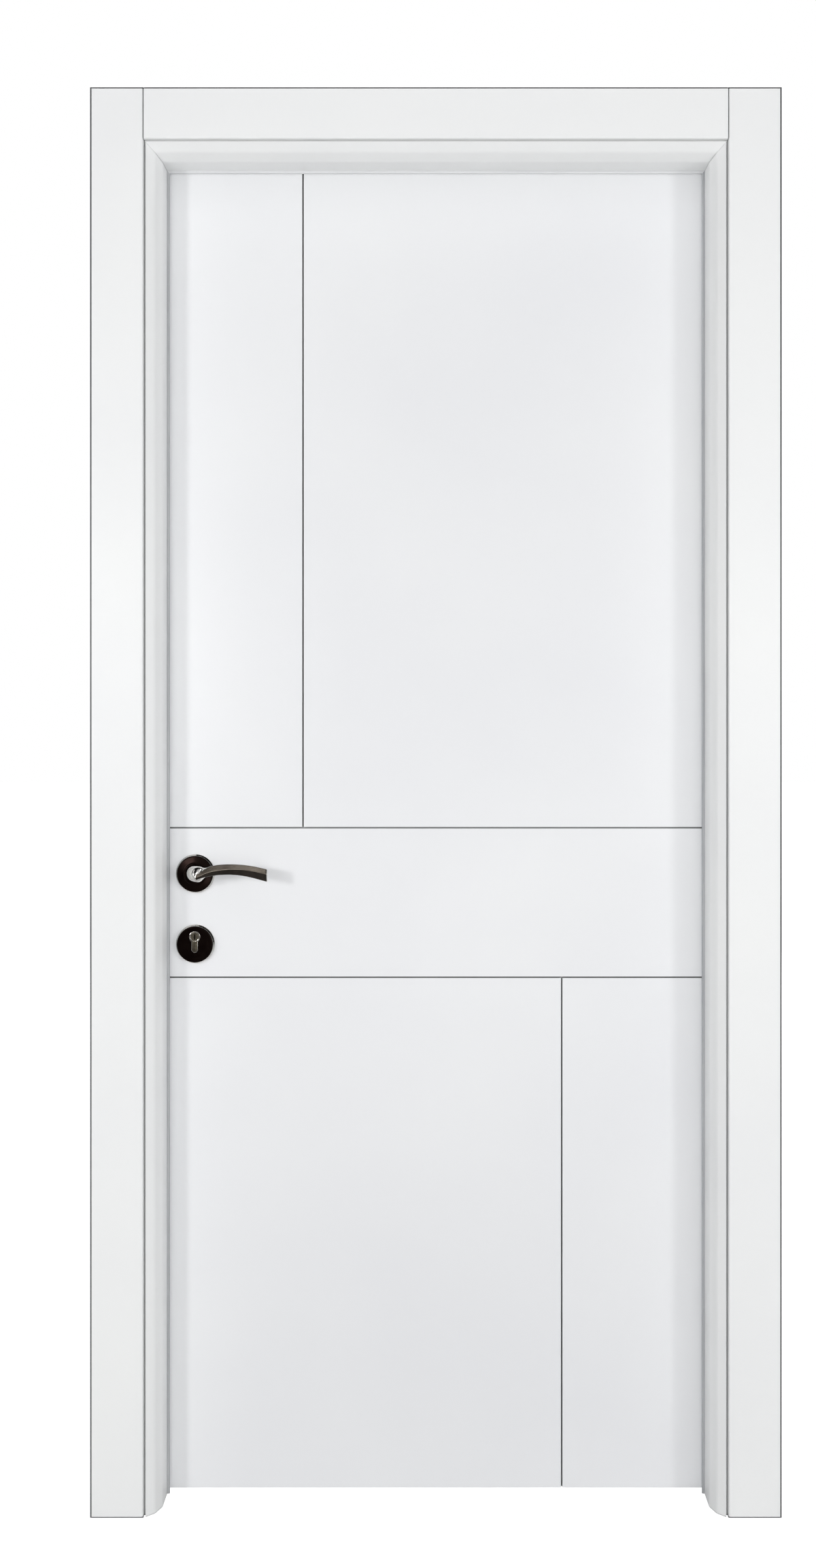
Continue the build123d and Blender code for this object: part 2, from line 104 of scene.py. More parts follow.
frameLacquer = {
    "colour": "#fafbfa", "drift": "#f6f7f7", "driftMm": 380, "driftSpan": (0.32, 0.68),
    "rough": (0.30, 0.42), "smudgeMm": 60, "smudgeSpan": (0.3, 0.7),
    "peelMm": 1.8, "peelHighMm": 0.2, "peelStrength": 0.05, "ior": 1.5,
    "creviceMm": 3.0, "creviceSamples": 12, "ownCrevicesOnly": False,
}
# the head jamb takes a shallower painted crevice shade
headLacquer = dict(frameLacquer, creviceMm=0.3)
# casings carry a painted shade band along their outer edges
casingLacquer = dict(frameLacquer, edgeShadeColour="#626365", edgeMm=2.8, edgeBlurMm=0.4)
# and so does the head casing
headCasingLacquer = dict(casingLacquer, creviceMm=0.5)
leafLacquer = dict(frameLacquer, colour="#f3f4f5", drift="#eff0f2", driftMm=450, rough=(0.28, 0.40),
                   smudgeMm=70, creviceMm=5.0, ownCrevicesOnly=True)


def sprayedLacquer(name, look):
    # satin polyurethane lacquer sprayed on fibreboard: milky white, a faint orange peel in the shine,
    # slow drifts of tone from the spraying, and patches where hands and cloths have polished it;
    # painted shade darkens its colour in the grooves and inner corners by ambient occlusion, and a casing
    # also has a painted shade line, a dull grey band along its outer bevel where that edge turns from the light
    material, tree = startMaterial(name)
    place = addNode(tree, "ShaderNodeTexCoord").outputs["Object"]
    drift = addNode(tree, "ShaderNodeTexNoise", {"Scale": 1000 / look["driftMm"], "Detail": 2.0}, {"Vector": place})
    tone = addNode(tree, "ShaderNodeValToRGB", links={"Fac": drift.outputs["Fac"]})
    setRamp(tone, look["driftSpan"], (look["drift"], look["colour"]))
    coat = tone.outputs["Color"]
    # painted shade: a dull grey band within edgeMm of the set's outer sides, top and foot covers the casing's outer
    # bevel, standing in for the shade on that edge
    if "edgeShadeColour" in look:
        setMiddle = [(a + b) / 2 for a, b in zip(*cadBox)]
        setHalf = [(b - a) / 2 for a, b in zip(*cadBox)]
        centred = addNode(tree, "ShaderNodeVectorMath", {1: setMiddle}, {0: place}, operation="SUBTRACT")
        outward = addNode(tree, "ShaderNodeVectorMath", links={0: centred.outputs[0]}, operation="ABSOLUTE")
        inward = addNode(tree, "ShaderNodeVectorMath", {0: setHalf}, {1: outward.outputs[0]}, operation="SUBTRACT")
        sides = addNode(tree, "ShaderNodeSeparateXYZ", links={"Vector": inward.outputs[0]})
        nearest = addNode(tree, "ShaderNodeMath", links={0: sides.outputs["X"], 1: sides.outputs["Z"]},
                          operation="MINIMUM")
        edgeSpan = [(look["edgeMm"] + way * look["edgeBlurMm"]) * mm for way in (-1, 1)]
        inside = addNode(tree, "ShaderNodeMapRange", spanTo(edgeSpan, (0, 1)), {"Value": nearest.outputs[0]})
        edgeShaded = addNode(tree, "ShaderNodeMixRGB", {"Color1": linear(look["edgeShadeColour"])},
                        {"Fac": inside.outputs[0], "Color2": coat})
        coat = edgeShaded.outputs["Color"]
    # painted shade: ambient occlusion darkens the lacquer's colour in grooves, quirks and inner corners
    creviceShade = addNode(tree, "ShaderNodeAmbientOcclusion", {"Distance": look["creviceMm"] * mm}, {"Color": coat},
                   samples=look["creviceSamples"], only_local=look["ownCrevicesOnly"])
    smudge = addNode(tree, "ShaderNodeTexNoise", {"Scale": 1000 / look["smudgeMm"], "Detail": 4.0}, {"Vector": place})
    sheen = addNode(tree, "ShaderNodeMapRange", spanTo(look["smudgeSpan"], look["rough"]),
                    {"Value": smudge.outputs["Fac"]})
    peel = addNode(tree, "ShaderNodeTexNoise", {"Scale": 1000 / look["peelMm"], "Detail": 2.0}, {"Vector": place})
    bump = addNode(tree, "ShaderNodeBump", {"Strength": look["peelStrength"], "Distance": look["peelHighMm"] * mm},
                   {"Height": peel.outputs["Fac"]})
    shader = addNode(tree, "ShaderNodeBsdfPrincipled", {"IOR": look["ior"]},
                     {"Base Color": creviceShade.outputs["Color"], "Roughness": sheen.outputs["Result"],
                      "Normal": bump.outputs["Normal"]})
    addNode(tree, "ShaderNodeOutputMaterial", links={"Surface": shader.outputs["BSDF"]})
    return material


sideSeal = {
    "colour": "#c6c8ca", "streak": "#b6b8bb", "streakMm": (2.5, 2.5, 180), "streakSpan": (0.35, 0.65),
    "rough": 0.55, "ior": 1.5, "grainMm": 0.8, "grainHighMm": 0.1, "grainStrength": 0.15,
}
# painted light: the head seal is a paler copy of the same rubber, lit up so that no shade line shows under the head
headSealLitPaler = dict(sideSeal, colour="#e9eaeb", streak="#dedfe1", streakMm=(180, 2.5, 2.5))


def extrudedSealRubber(name, look):
    # pale grey thermoplastic rubber drawn through a die: dull, with long faint draw lines along each run
    material, tree = startMaterial(name)
    place = addNode(tree, "ShaderNodeTexCoord").outputs["Object"]
    along = addNode(tree, "ShaderNodeMapping", {"Scale": tuple(1000 / size for size in look["streakMm"])},
                    {"Vector": place})
    streak = addNode(tree, "ShaderNodeTexNoise", {"Scale": 1.0, "Detail": 2.0}, {"Vector": along.outputs["Vector"]})
    tone = addNode(tree, "ShaderNodeValToRGB", links={"Fac": streak.outputs["Fac"]})
    setRamp(tone, look["streakSpan"], (look["streak"], look["colour"]))
    grain = addNode(tree, "ShaderNodeTexNoise", {"Scale": 1000 / look["grainMm"]}, {"Vector": place})
    bump = addNode(tree, "ShaderNodeBump", {"Strength": look["grainStrength"], "Distance": look["grainHighMm"] * mm},
                   {"Height": grain.outputs["Fac"]})
    shader = addNode(tree, "ShaderNodeBsdfPrincipled", {"IOR": look["ior"], "Roughness": look["rough"]},
                     {"Base Color": tone.outputs["Color"], "Normal": bump.outputs["Normal"]})
    addNode(tree, "ShaderNodeOutputMaterial", links={"Surface": shader.outputs["BSDF"]})
    return material


satinNickel = {
    "colour": "#b9b6af", "dull": "#a3a098", "blotchMm": 18, "blotchSpan": (0.35, 0.65),
    "rough": (0.26, 0.40), "lineMm": (1.2, 1.2, 45), "lineSpan": (0.3, 0.7), "lineHighMm": 0.1, "lineStrength": 0.12,
}
darkNickel = dict(satinNickel, colour="#787066", dull="#686158", blotchMm=22, rough=(0.24, 0.36),
                  lineMm=(40, 1.0, 1.0), lineStrength=0.10)
# painted shade: a darkened copy of the brushed nickel for the key cylinder and its plugs
shadedCylinderNickel = dict(satinNickel, colour="#5f594d", dull="#4a453c", blotchMm=5, rough=(0.22, 0.38),
                  lineMm=(1.0, 1.0, 20), lineStrength=0.10)


def brushedNickel(name, look):
    # nickel plate on metal brushed one way: fine lines that spread the shine across them, and slightly
    # duller blotches from handling; the real lines are about 0.1 mm and are drawn coarser so that they show
    material, tree = startMaterial(name)
    place = addNode(tree, "ShaderNodeTexCoord").outputs["Object"]
    along = addNode(tree, "ShaderNodeMapping", {"Scale": tuple(1000 / size for size in look["lineMm"])},
                    {"Vector": place})
    line = addNode(tree, "ShaderNodeTexNoise", {"Scale": 1.0, "Detail": 3.0}, {"Vector": along.outputs["Vector"]})
    blotch = addNode(tree, "ShaderNodeTexNoise", {"Scale": 1000 / look["blotchMm"], "Detail": 3.0}, {"Vector": place})
    tone = addNode(tree, "ShaderNodeValToRGB", links={"Fac": blotch.outputs["Fac"]})
    setRamp(tone, look["blotchSpan"], (look["dull"], look["colour"]))
    shine = addNode(tree, "ShaderNodeMapRange", spanTo(look["lineSpan"], look["rough"]), {"Value": line.outputs["Fac"]})
    bump = addNode(tree, "ShaderNodeBump", {"Strength": look["lineStrength"], "Distance": look["lineHighMm"] * mm},
                   {"Height": line.outputs["Fac"]})
    shader = addNode(tree, "ShaderNodeBsdfPrincipled", {"Metallic": 1.0},
                     {"Base Color": tone.outputs["Color"], "Roughness": shine.outputs["Result"],
                      "Normal": bump.outputs["Normal"]})
    addNode(tree, "ShaderNodeOutputMaterial", links={"Surface": shader.outputs["BSDF"]})
    return material


brightNickel = {
    "colour": "#efede9", "dull": "#dfdcd7", "toneSpan": (0.4, 0.7), "rough": (0.08, 0.20), "roughSpan": (0.35, 0.7),
    "smudgeMm": 9, "smudgeHighMm": 0.1, "smudgeStrength": 0.03,
}
blackNickel = dict(brightNickel, colour="#1d1513", dull="#16100e", rough=(0.12, 0.26), smudgeMm=14)
# painted shade: a darkened copy of the polished nickel for the blade's downward facet
shadedBladeUnderside = dict(brightNickel, colour="#453f3a", dull="#393430", rough=(0.18, 0.28), smudgeMm=16)


def polishedNickel(name, look):
    # buffed and plated: mirror-like, with soft finger marks that dull it in patches
    material, tree = startMaterial(name)
    place = addNode(tree, "ShaderNodeTexCoord").outputs["Object"]
    smudge = addNode(tree, "ShaderNodeTexNoise", {"Scale": 1000 / look["smudgeMm"], "Detail": 5.0, "Roughness": 0.6},
                     {"Vector": place})
    tone = addNode(tree, "ShaderNodeValToRGB", links={"Fac": smudge.outputs["Fac"]})
    setRamp(tone, look["toneSpan"], (look["colour"], look["dull"]))
    shine = addNode(tree, "ShaderNodeMapRange", spanTo(look["roughSpan"], look["rough"]),
                    {"Value": smudge.outputs["Fac"]})
    bump = addNode(tree, "ShaderNodeBump", {"Strength": look["smudgeStrength"], "Distance": look["smudgeHighMm"] * mm},
                   {"Height": smudge.outputs["Fac"]})
    shader = addNode(tree, "ShaderNodeBsdfPrincipled", {"Metallic": 1.0},
                     {"Base Color": tone.outputs["Color"], "Roughness": shine.outputs["Result"],
                      "Normal": bump.outputs["Normal"]})
    addNode(tree, "ShaderNodeOutputMaterial", links={"Surface": shader.outputs["BSDF"]})
    return material


finish = {
    "frame_lacquer": sprayedLacquer("satinLacquerOnFrame", frameLacquer),
    "leaf_lacquer": sprayedLacquer("satinLacquerOnLeaf", leafLacquer),
    "door_seal": extrudedSealRubber("extrudedSealRubberUpright", sideSeal),
    "satin_nickel": brushedNickel("brushedSatinNickel", satinNickel),
    "bright_nickel": polishedNickel("polishedNickel", brightNickel),
    "black_nickel": polishedNickel("polishedBlackNickel", blackNickel),
    "dark_nickel": brushedNickel("brushedDarkNickel", darkNickel),
}
cylinderFinish = brushedNickel("brushedNickelShadedCylinder", shadedCylinderNickel)
shadedUndersideFinish = polishedNickel("polishedNickelBladeUndersideShaded", shadedBladeUnderside)
casingFinish = sprayedLacquer("satinLacquerOnCasing", casingLacquer)
headCasingFinish = sprayedLacquer("satinLacquerOnHeadCasing", headCasingLacquer)
ownFinish = {
    "head_jamb": sprayedLacquer("satinLacquerOnHead", headLacquer),
    "head_seal": extrudedSealRubber("extrudedSealRubberLevelLitPaler", headSealLitPaler),
    "front_key_plug": cylinderFinish,
    "back_key_plug": cylinderFinish,
}
for side in ("front", "back"):
    ownFinish[f"{side}_casing_head"] = headCasingFinish
    for post in ("lock_side", "hinge_side"):
        ownFinish[f"{side}_casing_{post}"] = casingFinish
for part in frame["record"]["subparts"]:
    piece = nodes[part["node"]]
    piece.data.materials.clear()
    piece.data.materials.append(ownFinish.get(part["node"], finish[part["material_slot"]]))


def startPiece(name):
    # names the primitive just added and goes into edit mode on it
    piece = bpy.context.object
    piece.name = name
    piece.data.name = name
    bpy.ops.object.mode_set(mode="EDIT")
    bpy.ops.mesh.select_mode(type="VERT")
    return piece


def selectVerts(piece, test):
    bpy.ops.mesh.select_mode(type="VERT")
    bpy.ops.mesh.select_all(action="DESELECT")
    mesh = bmesh.from_edit_mesh(piece.data)
    for vert in mesh.verts:
        if test(vert.co):
            vert.select = True
    mesh.select_flush(True)
    bmesh.update_edit_mesh(piece.data)


def finishPiece(piece, body, angle):
    # origin to the frame's own, smooth by angle, then onto its body
    bpy.ops.object.mode_set(mode="OBJECT")
    bpy.ops.object.select_all(action="DESELECT")
    piece.select_set(True)
    bpy.context.view_layer.objects.active = piece
    bpy.ops.object.transform_apply(location=True, rotation=True, scale=True)
    bpy.ops.object.shade_smooth_by_angle(angle=math.radians(angle))
    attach(piece, body)


def applyModifier(piece, kind, **settings):
    modifier = piece.modifiers.new(kind.title(), kind)
    for name, value in settings.items():
        setattr(modifier, name, value)
    bpy.context.view_layer.objects.active = piece
    bpy.ops.object.modifier_apply(modifier=modifier.name)


def copyPiece(piece, name):
    bpy.ops.object.select_all(action="DESELECT")
    piece.select_set(True)
    bpy.context.view_layer.objects.active = piece
    bpy.ops.object.duplicate(linked=False)
    made = bpy.context.object
    made.name = name
    made.data.name = name
    return made


def mirrorToBack(piece, name, leafMiddleY):
    # the same piece on the other face of the leaf, turned right side out again
    made = copyPiece(piece, name)
    bpy.ops.object.mode_set(mode="EDIT")
    bpy.ops.mesh.select_all(action="SELECT")
    bpy.ops.transform.mirror(constraint_axis=(False, True, False), center_override=(0, leafMiddleY, 0))
    bpy.ops.mesh.normals_make_consistent(inside=False)
    bpy.ops.object.mode_set(mode="OBJECT")
    return made


spindleLow, spindleHigh = [Vector(corner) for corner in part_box("spindle")]
spindleAxis = (spindleLow + spindleHigh) / 2
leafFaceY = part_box("leaf_front_skin")[0][1]
leafMiddleY = spindleAxis.y

# lever: round neck out of the rose, swept elbow, then an arched blade with a ridge along its front
leverShape = {
    "neckRadius": 9.4, "hubRadius": 12.0, "hubShift": (3.0, 4.0),
    # distances out from the leaf's face
    "neckStart": 1.0, "flareStart": 9.5, "flareEnd": 15.0, "elbowStart": 33.0, "back": 40.5, "front": 51.5,
    "elbowRadius": 13.0, "elbowSteps": 4, "bevel": 4.0, "round": 2.0,
    # reach from the spindle, then heights of lower edge, ridge and upper edge; the first is where the facets start
    "root": (5, -4.4, -3.2, -1.8),
    "stations": [(21, -0.5, 5.0, 13.0), (32, 1.8, 8.6, 17.2), (46, 3.4, 10.8, 19.2), (66, 3.6, 12.2, 19.6),
                 (84, 1.0, 11.0, 18.2), (98, -2.4, 8.6, 16.0), (116, -7.4, 4.4, 11.6)],
    "crease": 0.85, "levels": 3, "facetFacing": -0.2, "smoothAngle": 60,
}


def ringInOrder(piece, places):
    # the selected ring by index, in the order of the places that its corners lie nearest to
    mesh = bmesh.from_edit_mesh(piece.data)
    ring = [vert for vert in mesh.verts if vert.select]
    return [min(ring, key=lambda vert: (vert.co - place).length).index for place in places]


def selectRing(piece, ring):
    mesh = bmesh.from_edit_mesh(piece.data)
    mesh.verts.ensure_lookup_table()
    bpy.ops.mesh.select_all(action="DESELECT")
    for index in ring:
        mesh.verts[index].select = True
    mesh.select_flush(True)
    bmesh.update_edit_mesh(piece.data)
    return [mesh.verts[index].co.copy() for index in ring]


def moveVerts(piece, ring, targets):
    for index, target in zip(ring, targets):
        place = selectRing(piece, [index])[0]
        bpy.ops.transform.translate(value=Vector(target) - place)


def modelLever(name, look):
    sides = 8
    frontCorners = (0, 1, 7)  # ridge, upper and lower
    smoothed = 2 / 3 + math.cos(2 * math.pi / sides) / 3  # what the smoothing leaves of the octagon
    circleRadius = look["neckRadius"] / smoothed * mm
    start = (spindleAxis.x, leafFaceY - look["neckStart"] * mm, spindleAxis.z)
    bpy.ops.object.select_all(action="DESELECT")
    bpy.ops.mesh.primitive_circle_add(vertices=sides, radius=circleRadius, fill_type="NOTHING", location=start,
                                      rotation=(math.radians(90), 0, 0))
    bpy.ops.object.transform_apply(location=True, rotation=True, scale=True)
    lever = startPiece(name)
    bpy.ops.mesh.select_all(action="SELECT")
    shiftX, shiftZ = [value * mm for value in look["hubShift"]]
    grow = look["hubRadius"] / look["neckRadius"]
    bpy.ops.mesh.extrude_region_move(
        TRANSFORM_OT_translate={"value": (0, (look["neckStart"] - look["flareStart"]) * mm, 0)})
    bpy.ops.mesh.extrude_region_move(
        TRANSFORM_OT_translate={"value": (shiftX / 2, (look["flareStart"] - look["flareEnd"]) * mm, shiftZ / 2)})
    flareMiddle = (start[0] + shiftX / 2, leafFaceY - look["flareEnd"] * mm, start[2] + shiftZ / 2)
    bpy.ops.transform.resize(value=(grow, 1, grow), center_override=flareMiddle)
    bpy.ops.mesh.extrude_region_move(
        TRANSFORM_OT_translate={"value": (shiftX / 2, (look["flareEnd"] - look["elbowStart"]) * mm, shiftZ / 2)})
    elbowMiddle = (start[0] + shiftX + look["elbowRadius"] * mm, leafFaceY - look["elbowStart"] * mm, start[2])
    bpy.ops.mesh.spin(steps=look["elbowSteps"], dupli=False, angle=math.radians(-90), center=elbowMiddle,
                      axis=(0, 0, 1))

    # front three corners of the last round ring drawn together to the low point where the facets start
    frontY = leafFaceY - look["front"] * mm
    edgeY = frontY + look["bevel"] * mm
    backY = leafFaceY - look["back"] * mm
    creased = [[], [], []]
    turned = Vector((elbowMiddle[0], elbowMiddle[1] - look["elbowRadius"] * mm, start[2] + shiftZ))
    turns = [2 * math.pi / sides * index for index in range(sides)]  # from the front over the top to the back and under
    ring = ringInOrder(lever, [turned + circleRadius * grow * Vector((0, -math.cos(a), math.sin(a))) for a in turns])
    reach, lower, ridge, upper = look["root"]
    rootX = spindleAxis.x + reach * mm
    root = [ring[index] for index in frontCorners]
    moveVerts(lever, root, [(rootX, frontY, spindleAxis.z + height * mm) for height in (ridge, upper, lower)])
    for line, place in zip(creased, selectRing(lever, root)):
        line.append(place)
    places = selectRing(lever, ring)

    # blade, one ring to a station, drawn out a little and then moved to its place
    drawn = Vector((1 * mm, 0, 0))
    sideY = (edgeY + backY) / 2
    corner = look["round"] * mm
    for reach, lower, ridge, upper in look["stations"]:
        bpy.ops.mesh.extrude_region_move(TRANSFORM_OT_translate={"value": drawn})
        ring = ringInOrder(lever, [place + drawn for place in places])
        x = spindleAxis.x + reach * mm
        low, crest, high = [spindleAxis.z + height * mm for height in (lower, ridge, upper)]
        moveVerts(lever, ring, [
            (x, frontY, crest), (x, edgeY, high), (x, sideY, high), (x, backY, high - corner),
            (x, backY, (low + high) / 2), (x, backY, low + corner), (x, sideY, low), (x, edgeY, low)])
        places = selectRing(lever, ring)
        for line, index in zip(creased, frontCorners):
            line.append(places[index])
    bpy.ops.mesh.edge_face_add()
    selectVerts(lever, lambda co: abs(co.y - start[1]) < tiny)
    bpy.ops.mesh.edge_face_add()

    # ridge, facet edges and the tip stay crisp under the smoothing
    bpy.ops.mesh.select_mode(type="EDGE")
    bpy.ops.mesh.select_all(action="DESELECT")
    mesh = bmesh.from_edit_mesh(lever.data)
    for edge in mesh.edges:
        ends = [vert.co for vert in edge.verts]
        edge.select = any(all(any((end - point).length < tiny for point in line) for end in ends)
                          for line in creased + [places])
    bmesh.update_edit_mesh(lever.data)
    bpy.ops.transform.edge_crease(value=look["crease"])
    bpy.ops.mesh.select_all(action="SELECT")
    bpy.ops.mesh.normals_make_consistent(inside=False)

    # polished body, brushed upper facet, and a darkened copy of the polished nickel on the lower facet: painted shade
    # on the side that faces down
    for material in (finish["bright_nickel"], finish["dark_nickel"], shadedUndersideFinish):
        lever.data.materials.append(material)
    bpy.ops.mesh.select_mode(type="FACE")
    for slot, way in ((1, 1), (2, -1)):
        bpy.ops.mesh.select_all(action="DESELECT")
        mesh = bmesh.from_edit_mesh(lever.data)
        for face in mesh.faces:
            corners = [vert.co for vert in face.verts]
            onBlade = all(any((place - point).length < tiny for line in creased for point in line) for place in corners)
            face.select = onBlade and face.normal.z * way > 0 and face.normal.y < look["facetFacing"]
        bmesh.update_edit_mesh(lever.data)
        lever.active_material_index = slot
        bpy.ops.object.material_slot_assign()
    bpy.ops.object.mode_set(mode="OBJECT")
    applyModifier(lever, "SUBSURF", levels=look["levels"], render_levels=look["levels"])
    return lever


frontLever = modelLever("frontLever", leverShape)
backLever = mirrorToBack(frontLever, "backLever", leafMiddleY)
for piece, node in ((frontLever, "front_lever"), (backLever, "back_lever")):
    finishPiece(piece, "lever_set", leverShape["smoothAngle"])
    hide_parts(node)
print("levers modelled")


def turnedPiece(name, middle, rings, sides):
    # rings of radius and height above the leaf's face, drawn out one from the other as on a lathe
    radius, height = rings[0]
    bpy.ops.object.select_all(action="DESELECT")
    start = (middle.x, middle.y - height * mm, middle.z)
    bpy.ops.mesh.primitive_circle_add(vertices=sides, radius=radius * mm, fill_type="NOTHING", location=start,
                                      rotation=(math.radians(90), 0, 0))
    bpy.ops.object.transform_apply(location=True, rotation=True, scale=True)
    piece = startPiece(name)
    bpy.ops.mesh.select_all(action="SELECT")
    for nextRadius, nextHeight in rings[1:]:
        bpy.ops.mesh.extrude_region_move(TRANSFORM_OT_translate={"value": (0, (height - nextHeight) * mm, 0)})
        grow = nextRadius / radius
        nextMiddle = (middle.x, middle.y - nextHeight * mm, middle.z)
        bpy.ops.transform.resize(value=(grow, 1, grow), center_override=nextMiddle)
        radius, height = nextRadius, nextHeight
    return piece


# rose cap: flat dish with a round shoulder and a raised collar about the neck
roseShape = {
    "rings": [(28, 5.0), (28, 7.2), (27.7, 8.0), (27.0, 8.6), (26.0, 8.9), (18.2, 9.1), (17.2, 9.4), (16.6, 10.2),
              (15.8, 10.6), (14.8, 10.5), (14.2, 9.9), (13.6, 8.8), (10.4, 8.2), (9.9, 7.6), (9.9, 5.0)],
    "sides": 72, "smoothAngle": 40,
}


def modelRose(name, look):
    middle = Vector((spindleAxis.x, leafFaceY, spindleAxis.z))
    rose = turnedPiece(name, middle, look["rings"], look["sides"])
    backY = leafFaceY - look["rings"][0][1] * mm
    selectVerts(rose, lambda co: abs(co.y - backY) < tiny)
    bpy.ops.mesh.select_mode(type="EDGE")
    bpy.ops.mesh.bridge_edge_loops()
    bpy.ops.mesh.select_all(action="SELECT")
    bpy.ops.mesh.normals_make_consistent(inside=False)
    bpy.ops.object.mode_set(mode="OBJECT")
    rose.data.materials.append(finish["black_nickel"])
    return rose


frontRose = modelRose("frontLeverRose", roseShape)
backRose = mirrorToBack(frontRose, "backLeverRose", leafMiddleY)
for piece, node in ((frontRose, "front_lever_rose"), (backRose, "back_lever_rose")):
    finishPiece(piece, "leaf", roseShape["smoothAngle"])
    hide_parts(node)
print("roses modelled")

# key cylinder: round barrel with a narrower web below, bored for the plugs, edges rolled bright; its faces and plugs
# take a darkened copy of the brushed nickel as painted shade, and the bright polished edges stand in as painted
# highlight
cylinderShape = {
    "radius": 8.5, "sides": 32, "webHalf": 5.0, "drop": 24.5, "bottomHigh": 5.0, "bottomWiden": 1.06,
    "bore": 6.5, "boreDepth": 24, "boreSides": 48, "bevel": 0.8, "bevelAngle": 50, "smoothAngle": 30,
}


def modelKeyCylinder(name, look):
    low, high = [Vector(corner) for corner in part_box("key_cylinder")]
    middle = Vector(((low.x + high.x) / 2, low.y, high.z - look["radius"] * mm))
    bpy.ops.object.select_all(action="DESELECT")
    bpy.ops.mesh.primitive_circle_add(vertices=look["sides"], radius=look["radius"] * mm, fill_type="NGON",
                                      location=middle, rotation=(math.radians(90), 0, 0))
    bpy.ops.object.transform_apply(location=True, rotation=True, scale=True)
    barrel = startPiece(name)
    half = look["webHalf"] * mm
    selectVerts(barrel, lambda co: abs(co.x - middle.x) < half and co.z < middle.z)
    bpy.ops.mesh.select_mode(type="EDGE")
    arcTop = -math.sqrt(look["radius"] ** 2 - look["webHalf"] ** 2)
    bpy.ops.mesh.extrude_edges_move(TRANSFORM_OT_translate={"value": (0, 0, (-look["drop"] + look["radius"]) * mm)})
    bottom = (middle.x, middle.y, middle.z - look["drop"] * mm)
    flatten = look["bottomHigh"] / (look["radius"] + arcTop)
    bpy.ops.transform.resize(value=(look["bottomWiden"], 1, flatten), center_override=bottom)
    bpy.ops.mesh.select_mode(type="FACE")
    bpy.ops.mesh.select_all(action="SELECT")
    bpy.ops.mesh.normals_make_consistent(inside=False)
    bpy.ops.mesh.extrude_region_move(TRANSFORM_OT_translate={"value": (0, high.y - low.y, 0)})
    bpy.ops.mesh.select_all(action="SELECT")
    bpy.ops.mesh.normals_make_consistent(inside=False)
    bpy.ops.object.mode_set(mode="OBJECT")
    for endY in (low.y, high.y):
        bpy.ops.object.select_all(action="DESELECT")
        bpy.ops.mesh.primitive_cylinder_add(
            vertices=look["boreSides"], radius=look["bore"] * mm, depth=2 * look["boreDepth"] * mm,
            location=(middle.x, endY, middle.z), rotation=(math.radians(90), 0, 0))
        drill = bpy.context.object
        applyModifier(barrel, "BOOLEAN", operation="DIFFERENCE", object=drill, solver="EXACT")
        bpy.data.objects.remove(drill)
    # darkened nickel copy (painted shade) on the faces, bright polished nickel (painted highlight) on the rolled edges
    barrel.data.materials.append(cylinderFinish)
    barrel.data.materials.append(finish["bright_nickel"])
    applyModifier(barrel, "BEVEL", width=look["bevel"] * mm, segments=2, limit_method="ANGLE",
                  angle_limit=math.radians(look["bevelAngle"]), material=1)
    return barrel


keyCylinder = modelKeyCylinder("keyCylinder", cylinderShape)
finishPiece(keyCylinder, "leaf", cylinderShape["smoothAngle"])
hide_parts("key_cylinder")
print("key cylinder modelled")

# countersunk screws with a cross recess, modelled once and copied to the hinge plates, lock front and strike
screwShape = {
    "rings": [(3.6, -0.6), (3.9, -0.1), (3.7, 0.12), (3.0, 0.3)], "sides": 24,
    "slot": (4.0, 0.9), "slotDeep": 0.9, "smoothAngle": 35,
}
plateScrews = {"hingeRise": 36, "hingeIn": (10, 22), "hingeGap": 5, "lockEnds": 12}


def modelScrew(name, look):
    # at the origin, head towards -Y, turned and placed by its copies
    screw = turnedPiece(name, Vector((0, 0, 0)), look["rings"], look["sides"])
    bpy.ops.mesh.edge_face_add()
    selectVerts(screw, lambda co: abs(co.y + look["rings"][0][1] * mm) < tiny)
    bpy.ops.mesh.edge_face_add()
    bpy.ops.mesh.select_all(action="SELECT")
    bpy.ops.mesh.normals_make_consistent(inside=False)
    bpy.ops.object.mode_set(mode="OBJECT")
    long, narrow = look["slot"]
    for size in ((long, narrow), (narrow, long)):
        bpy.ops.object.select_all(action="DESELECT")
        bpy.ops.mesh.primitive_cube_add(size=1, location=(0, -look["rings"][-1][1] * mm, 0))
        blade = bpy.context.object
        blade.scale = (size[0] * mm, 2 * look["slotDeep"] * mm, size[1] * mm)
        applyModifier(screw, "BOOLEAN", operation="DIFFERENCE", object=blade, solver="EXACT")
        bpy.data.objects.remove(blade)
    screw.data.materials.append(finish["bright_nickel"])
    return screw


def placeScrews(name, screw, places):
    # each place is a point on a plate and the way its face looks along X
    made = []
    for index, (point, way) in enumerate(places):
        one = copyPiece(screw, f"{name}{index}")
        one.rotation_euler = (0, 0, math.radians(90 * way))
        one.location = point
        made.append(one)
    bpy.ops.object.select_all(action="DESELECT")
    for one in made:
        one.select_set(True)
    bpy.context.view_layer.objects.active = made[0]
    bpy.ops.object.join()
    made[0].name = name
    made[0].data.name = name
    return made[0]


